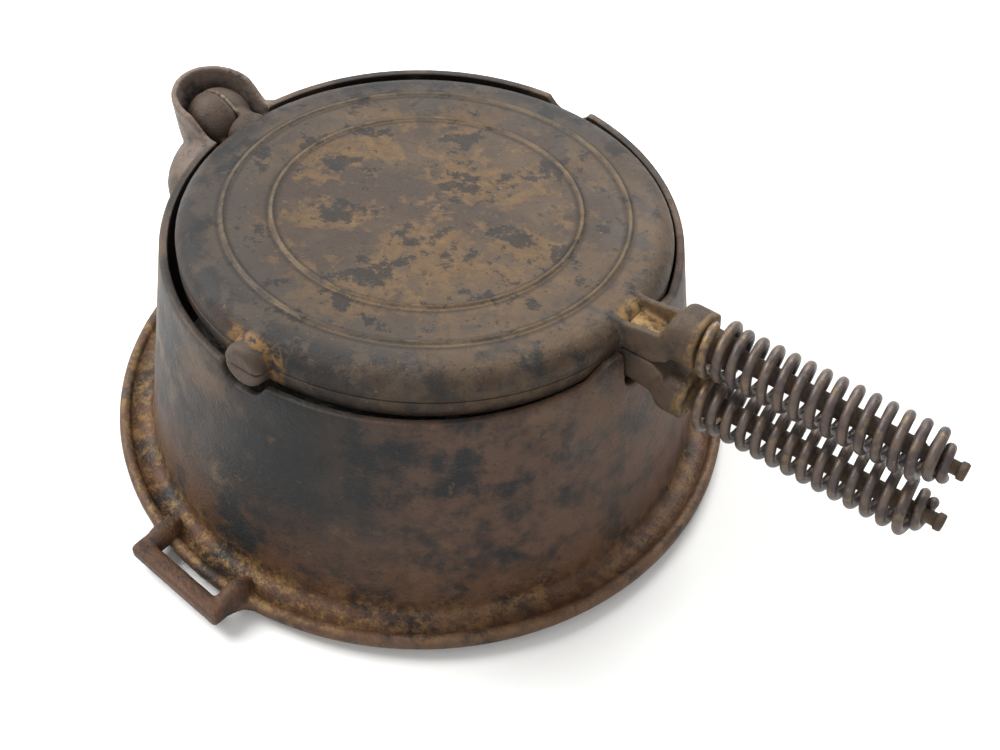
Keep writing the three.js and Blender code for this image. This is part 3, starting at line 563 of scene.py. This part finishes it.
def tang():
    """Stepped rod inside the grip, through [x, radius] steps, and a rough hammered head
    that holds the wire: a square with worn corners, and two waves round it."""
    last = coil_x(CLOSE_TURNS + OPEN_TURNS) - WIRE_D / 2
    bead = [(122.2, 8.6), (122.5, 9.7), (123.0, 10.25), (123.9, 10.4), (124.8, 10.25), (125.3, 9.8)]
    spigot = [(COLLAR_END, 9.0), (COLLAR_END, 6.6), (132, 6.3), (135.4, 6.1), (135.9, 3.6)]
    shank = [(150, 3.5), (190, 3.5), (last - 3, 3.4), (last - 1.5, 2.5), (TIP_X - 2, 2.5)]
    steps = bead + spigot + shank
    a = np.linspace(0, 2 * np.pi, 32, endpoint=False)
    rings = [radius * np.stack([np.cos(a), np.sin(a)], -1) + [0, GRIP_Z] for x, radius in steps]
    rod = skin(stations([x for x, radius in steps], rings))
    a = np.linspace(0, 2 * np.pi, 20, endpoint=False)
    square = np.abs(np.cos(a)) ** 4 + np.abs(np.sin(a)) ** 4
    xs = np.array([TIP_X - 2.9, TIP_X - 2.4, TIP_X - 0.7, TIP_X])
    rings = []
    for x, size in zip(xs, (2.6, 3.2, 3.3, 2.8)):
        rough = size * (1 + 0.05 * np.sin(3 * a + x) + 0.04 * np.sin(5 * a + 2 * x))
        r = np.minimum(rough * 0.92 * square ** -0.18, HEAD_HALF)
        rings.append(np.stack([r * np.cos(a), GRIP_Z + r * np.sin(a)], -1))
    return [rod, skin(stations(xs, rings))]


def in_place(verts, half):
    """Pan coordinates to the frame: the lower half turned over, then the pair tipped
    about its handles and pitched up about the ball."""
    own = verts if half == "upper" else verts * [1, -1, -1]
    return (own + [BALL_REACH, 0, 0]) @ np.array(REST_TURN).T + [BALL_X, 0, BALL_Z]


def pan_casting(half, material):
    """One pan with its hinge half, stop lug half, neck, collar and tang."""
    fine = {"cell_mm": 0.7, "rounds": 5}
    hinge = cast_together([half_ball(), boss(), arm(), pan_patch(np.pi, 0.2)], **fine)
    stop, stop_faces = cast_together([lug(), pan_patch(-np.pi / 2, 0.16)], **fine)
    if half == "lower":
        stop, stop_faces = stop * [1, -1, 1], [face[::-1] for face in stop_faces]
    neck = cast_together(neck_shells() + [pan_patch(0, 0.24)], **fine)
    shells = [pan_disc(), hinge, (stop, stop_faces), neck] + tang() + waffle_pegs()
    placed = [(in_place(verts, half), faces) for verts, faces in shells]
    names = half + "_iron", half + "_pan_iron", half + "_pan"
    piece(half + "_pan_casting", placed, material, *names)


# Grips


def coil_x(turns):
    """How far along its tang the wire is after some turns."""
    close = np.minimum(turns, CLOSE_TURNS)
    opened = np.clip(turns - CLOSE_TURNS, 0, OPEN_TURNS)
    last = np.maximum(turns - CLOSE_TURNS - OPEN_TURNS, 0)
    return WIRE_START_X + close * CLOSE_PITCH + opened * OPEN_PITCH + last * END_PITCH


def coil_line(turns):
    """Centre line of a grip about its tang: large close turns, open turns, drawn in."""
    last = np.maximum(turns - CLOSE_TURNS - OPEN_TURNS, 0)
    share = smooth_step(last, 0, TAPER_TURNS)
    wide = (COIL_D - WIRE_D) / 2 + SWELL * (1 - smooth_step(turns, 0, CLOSE_TURNS))
    radius = wide * (1 - share) + END_R * share
    angle = 2 * np.pi * turns
    return np.stack([coil_x(turns), -radius * np.sin(angle), radius * np.cos(angle)], -1)


def grip_wire(half, material):
    """Round wire swept along the coil line, its two cut ends eased over. Each ring lies
    across the line's tangent, with one side turned away from the tang."""
    turns = np.linspace(0, CLOSE_TURNS + OPEN_TURNS + TAPER_TURNS + END_TURNS, 600)
    line = coil_line(turns)
    tangent = np.gradient(line, axis=0)
    tangent /= np.linalg.norm(tangent, axis=1)[:, None]
    out = line * [0, 1, 1]
    out -= (out * tangent).sum(1)[:, None] * tangent
    out /= np.linalg.norm(out, axis=1)[:, None]
    side = np.cross(tangent, out)
    radius = np.full((len(turns), 1, 1), WIRE_D / 2)
    cap = np.sqrt(np.clip(1 - ((3 - np.arange(4)) / 3.3) ** 2, 0, 1))[:, None, None]
    radius[:4] *= cap
    radius[-4:] *= cap[::-1]
    a = np.linspace(0, 2 * np.pi, 16, endpoint=False)[None, :, None]
    grid = line[:, None] + radius * (np.cos(a) * out[:, None] + np.sin(a) * side[:, None])
    verts, faces = skin(grid + [0, 0, GRIP_Z])
    names = half + "_iron", "coil_wire", half + "_coil_grip"
    piece(half + "_grip_wire", [(in_place(verts, half), faces)], material, *names)


# Materials


def linear(code):
    """An sRGB hex colour as linear RGBA."""
    parts = [int(code[i:i + 2], 16) / 255 for i in (1, 3, 5)]
    return [p / 12.92 if p <= 0.04045 else ((p + 0.055) / 1.055) ** 2.4 for p in parts] + [1.0]


def add(tree, kind, inputs=None, out=0, **settings):
    """Adds one node, sets its properties, sets or links its inputs, gives one output."""
    n = tree.nodes.new("ShaderNode" + kind)
    for name, value in settings.items():
        setattr(n, name, value)
    for name, value in (inputs or {}).items():
        if isinstance(value, bpy.types.NodeSocket):
            tree.links.new(value, n.inputs[name])
        else:
            n.inputs[name].default_value = value
    return n.outputs[out] if n.outputs else n


def finish(name, centre_mm=(0, 0, 0)):
    """A new material's tree, and object coordinates in millimetres from a centre."""
    mat = bpy.data.materials.new(name)
    mat.use_nodes = True
    tree = mat.node_tree
    tree.nodes.clear()
    places = {"Vector": add(tree, "TexCoord", out="Object"), "Scale": [1 / MM] * 3}
    return mat, tree, add(tree, "Mapping", {**places, "Location": [-c for c in centre_mm]})


def distances(tree, at, directions):
    """How far a point lies from the upright axis, then from the centre in each direction,
    in millimetres: the length of its level part, and its product with the direction."""
    level = add(tree, "VectorMath", {0: at, 1: (1, 1, 0)}, operation="MULTIPLY")
    found = [add(tree, "VectorMath", {0: level}, "Value", operation="LENGTH")]
    for way in directions:
        found.append(add(tree, "VectorMath", {0: at, 1: way}, "Value", operation="DOT_PRODUCT"))
    return found


def lay(tree, at, under, over, share, ramps=(), cloud=None):
    """Lays one colour over another, as thick as the share. Each ramp (value, from, to) lets
    it in as that value passes from the first number to the second. A cloud (size in mm,
    from, to, detail, roughness) breaks it up into patches about that size."""
    ramps = list(ramps)
    if cloud:
        size, low, high, detail, rough = cloud
        grain = {"Scale": 1 / size, "Detail": detail, "Roughness": rough}
        ramps.append((add(tree, "TexNoise", {"Vector": at, **grain}), low, high))
    for value, low, high in ramps:
        limits = {"Value": value, "From Min": low, "From Max": high}
        ramp = add(tree, "MapRange", limits, interpolation_type="SMOOTHSTEP")
        share = add(tree, "Math", {0: share, 1: ramp}, operation="MULTIPLY")
    colours = [linear(c) if isinstance(c, str) else c for c in (under, over)]
    return add(tree, "Mix", {0: share, 6: colours[0], 7: colours[1]}, 2, data_type="RGBA")


def metal_surface(tree, at, colour, roughness, grit, waves, metallic, specular):
    """Shader with a roughness that varies between two values in broad clouds of 25 mm, and
    relief from fine grit on slow waves, each given as size and height in mm."""
    broad = add(tree, "TexNoise", {"Vector": at, "Scale": 1 / 25, "Detail": 5.0})
    least, most = roughness
    spread = {"Value": broad, "From Min": 0.3, "From Max": 0.7, "To Min": least, "To Max": most}
    relief = 0.0
    for size, height in (grit, waves):
        grain = {"Scale": 1 / size, "Detail": 4.0, "Roughness": 0.6}
        noise = add(tree, "TexNoise", {"Vector": at, **grain})
        relief = add(tree, "Math", {0: noise, 1: height, 2: relief}, operation="MULTIPLY_ADD")
    bump = add(tree, "Bump", {"Height": relief, "Strength": 1.0, "Distance": MM})
    shader = add(tree, "BsdfPrincipled", {
        "Base Color": colour,
        "Roughness": add(tree, "MapRange", spread),
        "Metallic": metallic,
        "Normal": bump,
        "Specular IOR Level": specular,
    })
    add(tree, "OutputMaterial", {"Surface": shader})


def seasoned_pan_iron():
    """Seasoned grey cast iron, handled for years: brown film worn through to tan rust in
    the middle, black where the seasoning holds, greyer at the shoulder, painted shade with
    some dirt at the foot of each raised ring, a painted highlight with some rubbing on its
    crest, and yellow rust in tray, collar and root."""
    mat, t, at = finish("seasoned_pan_iron", (PAN_MIDDLE_X, 0, PAN_MIDDLE_Z))
    r, x, across, height = distances(t, at, ((1, 0, 0), REST_TURN.col[1], REST_TURN.col[2]))
    aside = add(t, "Math", {0: across}, operation="ABSOLUTE")
    away = add(t, "Math", {0: height}, operation="ABSOLUTE")
    # Brown film, greyer between the rings, and tan rust that shows through in the middle
    colour = lay(t, at, "#3c332c", "#4d4033", 1.0, cloud=(34, 0.4, 0.62, 4, 0.6))
    colour = lay(t, at, colour, "#3b3632", 0.7, [(r, 60, 76)])
    tan = lay(t, at, "#43362a", "#6e5639", 1.0, cloud=(5, 0.2, 0.8, 7, 0.75))
    colour = lay(t, at, colour, tan, 0.75, [(r, 100, 42)], (22, 0.49, 0.54, 10, 0.72))
    # Black seasoning in patches, most of it near the edge
    colour = lay(t, at, colour, "#202122", 0.8, cloud=(17, 0.545, 0.58, 10, 0.73))
    colour = lay(t, at, colour, "#232425", 0.75, [(r, 80, 90)], (15, 0.44, 0.52, 8, 0.7))
    # Lighter brown towards the handles, dark brown on the shoulder, tan and black specks
    handles = [(x, 20, 75), (r, 66, 82)]
    colour = lay(t, at, colour, "#5c4a37", 0.6, handles, (13, 0.4, 0.56, 7, 0.66))
    colour = lay(t, at, colour, "#3c2d24", 0.7, [(r, 89, 97)], (11, 0.48, 0.62, 6, 0.65))
    colour = lay(t, at, colour, "#7b674a", 0.4, cloud=(1.8, 0.66, 0.73, 3, 0.6))
    colour = lay(t, at, colour, "#1b1816", 0.6, cloud=(2.6, 0.40, 0.33, 4, 0.65))
    # Painted shade with some dirt at the foot on both sides of each raised ring, and a painted
    # highlight with some rubbing on its crest
    outside = (away, PAN_H - 1, PAN_H - 0.4)
    for radius in RING_RADII:
        off = add(t, "Math", {0: add(t, "Math", {0: r, 1: -radius})}, operation="ABSOLUTE")
        # Dark band at the ring's foot: painted shade, with some dirt
        colour = lay(t, at, colour, "#1d1a18", 0.55, [outside, (off, 0.9, 1.5), (off, 3.4, 1.6)])
        # Pale crest: painted highlight, with some real rubbing
        crest = [outside, (off, 1.0, 0.3)]
        colour = lay(t, at, colour, "#746550", 0.55, crest, (12, 0.3, 0.7, 5, 0.6))
    # Brown beyond the pan, yellow rust at the lug's root, and bright scale in the ball's seam
    colour = lay(t, at, colour, "#4d4036", 0.75, [(r, 96, 101)], (10, 0.36, 0.56, 7, 0.68))
    root = [(x, -16, -11), (x, 16, 11), (across, 0, -5), (r, 93, 95.5), (r, 100, 97.5)]
    colour = lay(t, at, colour, "#7b5c36", 0.75, root, (4, 0.42, 0.56, 6, 0.7))
    seam = [(across, 0.1, 0.4), (across, 1.3, 0.8), (x, -104, -106), (height, 4, 8)]
    colour = lay(t, at, colour, "#8f846f", 0.85, seam, (3, 0.38, 0.6, 5, 0.7))
    # Yellow rust in the tray and on the collar, then all worn edges a little paler
    tray = [(x, 88, 94), (x, 114, 108), (aside, 7.4, 5.4), (away, 4.7, 5.3), (away, 14.5, 13.9)]
    colour = lay(t, at, colour, "#94764a", 0.9, tray, (5, 0.36, 0.6, 7, 0.74))
    collar = [(x, 120.5, 122.5), (x, 130, 126)]
    colour = lay(t, at, colour, "#7d6034", 0.6, collar, (3, 0.4, 0.6, 5, 0.7))
    bulge = add(t, "NewGeometry", out="Pointiness")
    colour = lay(t, at, colour, "#6e5d47", 0.35, [(bulge, 0.515, 0.58)])
    metal_surface(t, at, colour, (0.52, 0.64), (1.1, 0.3), (8, 0.5), metallic=0.2, specular=0.2)
    return mat


def browned_stand_iron():
    """Sand-cast grey iron, browned by the stove: smoky black in broad soft patches over
    brown, thickest at the front, where the extra black is partly painted shade on the side
    turned away from the key lamp, rust and tan crumbs low down, and the cup rubbed greyer."""
    mat, t, at = finish("browned_stand_iron", (RING_X, 0, 0))
    r, x, z, front = distances(t, at, ((1, 0, 0), (0, 0, 1), (0.55, -0.83, 0)))
    # Brown iron with soot in broad patches, thickest at the front, where the extra black is painted
    # shade on the side turned away from the key lamp
    colour = lay(t, at, "#423730", "#544639", 1.0, cloud=(26, 0.42, 0.6, 6, 0.6))
    colour = lay(t, at, colour, "#1d1e1f", 0.85, cloud=(40, 0.44, 0.53, 6, 0.6))
    # Painted shade: more black towards the front, away from the key lamp
    colour = lay(t, at, colour, "#1d1e1f", 0.92, [(front, 40, 100)], (40, 0.34, 0.43, 6, 0.6))
    # Red rust low on the wall, tan crumbs in the gutter, and tan spots all over
    colour = lay(t, at, colour, "#5b3e2a", 0.75, [(z, 66, 8)], (22, 0.38, 0.56, 7, 0.65))
    gutter = [(z, 22, 9), (r, 135.5, 132.5)]
    colour = lay(t, at, colour, "#86683f", 0.8, gutter, (7, 0.46, 0.62, 10, 0.78))
    colour = lay(t, at, colour, "#5c4529", 0.55, cloud=(9, 0.60, 0.67, 8, 0.72))
    # Lighter brown under the handles, the cup rubbed greyer, pale and black specks
    colour = lay(t, at, colour, "#5f4636", 0.65, [(x, 20, 80)], (14, 0.38, 0.6, 7, 0.65))
    cup_end = [(x, -96, -103), (z, 86, 99)]
    colour = lay(t, at, colour, "#73645b", 0.85, cup_end, (9, 0.25, 0.6, 6, 0.65))
    colour = lay(t, at, colour, "#716048", 0.4, cloud=(1.7, 0.67, 0.74, 3, 0.6))
    colour = lay(t, at, colour, "#1a1715", 0.5, cloud=(3, 0.40, 0.33, 4, 0.65))
    bulge = add(t, "NewGeometry", out="Pointiness")
    colour = lay(t, at, colour, "#6b5b48", 0.6, [(bulge, 0.515, 0.58)])
    metal_surface(t, at, colour, (0.48, 0.62), (1.3, 0.4), (10, 0.7), metallic=0.2, specular=0.26)
    return mat


def browned_grip_wire():
    """Drawn steel wire, browned by heat and polished by the hand: dark with soft glints,
    and powdered with yellow rust in its hollows, most of it near the collar."""
    mat, t, at = finish("browned_grip_wire", (RING_X, 0, 0))
    x = add(t, "VectorMath", {0: at, 1: (1, 0, 0)}, "Value", operation="DOT_PRODUCT")
    colour = lay(t, at, "#3d3433", "#54473f", 1.0, cloud=(7, 0.40, 0.6, 5, 0.6))
    colour = lay(t, at, colour, "#6b5a3e", 0.7, cloud=(4, 0.54, 0.64, 6, 0.66))
    colour = lay(t, at, colour, "#846638", 0.55, [(x, 138, 129)], (3, 0.42, 0.55, 5, 0.65))
    metal_surface(t, at, colour, (0.38, 0.5), (0.8, 0.1), (3, 0.1), metallic=0.4, specular=0.5)
    return mat


def white_paper_floor():
    """Matt white paper under and behind the object."""
    mat, t, _ = finish("white_paper_floor")
    paper = {"Base Color": linear("#f4f4f2"), "Roughness": 0.9, "Specular IOR Level": 0.1}
    add(t, "OutputMaterial", {"Surface": add(t, "BsdfPrincipled", paper)})
    return mat


# Light and camera


def soft_lamp(name, place_mm, aim_mm, size_mm, watts):
    """Square lamp at a place, turned to a point."""
    data = bpy.data.lights.new(name, "AREA")
    data.energy = watts
    data.size = size_mm * MM
    obj = bpy.data.objects.new(name, data)
    bpy.context.scene.collection.objects.link(obj)
    obj.location = Vector(place_mm) * MM
    obj.rotation_euler = (Vector(aim_mm) - Vector(place_mm)).to_track_quat("-Z", "Y").to_euler()


def studio():
    """Pale floor, white world and soft lamps from the left and above."""
    corners = np.array([[-1, -1, 0], [1, -1, 0], [1, 1, 0], [-1, 1, 0]]) * FLOOR_REACH
    floor = mesh_object("floor", corners, [[0, 1, 2, 3]])
    floor.data.materials.append(white_paper_floor())
    world = bpy.data.worlds.new("white_room")
    bpy.context.scene.world = world
    world.use_nodes = True
    t = world.node_tree
    t.nodes.clear()
    seen = 0.0
    for ray in ("Is Camera Ray", "Is Glossy Ray", "Is Transmission Ray"):
        seen = add(t, "Math", {0: seen, 1: add(t, "LightPath", out=ray)}, operation="MAXIMUM")
    glow = add(t, "Background", {"Color": linear("#ffffff"), "Strength": 0.6})
    white = add(t, "Background", {"Color": linear("#ffffff"), "Strength": 1.0})
    add(t, "OutputWorld", {"Surface": add(t, "MixShader", {0: seen, 1: glow, 2: white})})
    aim = (RING_X, 0, 60)
    soft_lamp("key_left", (-1000, -300, 1100), aim, 800, 26)
    soft_lamp("back_top", (-300, 900, 1000), aim, 700, 16)
    soft_lamp("fill_front", (500, -1000, 700), aim, 900, 3)


def camera():
    """Camera at its place, turned about Z, tipped down from level, and rolled."""
    data = bpy.data.cameras.new("camera")
    data.sensor_width = SENSOR_W
    data.lens = LENS
    data.clip_end = 100
    obj = bpy.data.objects.new("camera", data)
    bpy.context.scene.collection.objects.link(obj)
    turn, pitch, roll = (math.radians(a) for a in CAMERA_TURNS)
    level = Matrix.Rotation(turn, 4, "Z") @ Matrix.Rotation(math.pi / 2 - pitch, 4, "X")
    turned = level @ Matrix.Rotation(roll, 4, "Z")
    obj.matrix_world = Matrix.Translation(Vector(CAMERA_AT) * MM) @ turned
    bpy.context.scene.camera = obj


pan_iron, wire = seasoned_pan_iron(), browned_grip_wire()
stand_casting(browned_stand_iron())
for pan_half in ("upper", "lower"):
    pan_casting(pan_half, pan_iron)
    grip_wire(pan_half, wire)
studio()
camera()
bpy.context.scene.view_settings.view_transform = "Standard"
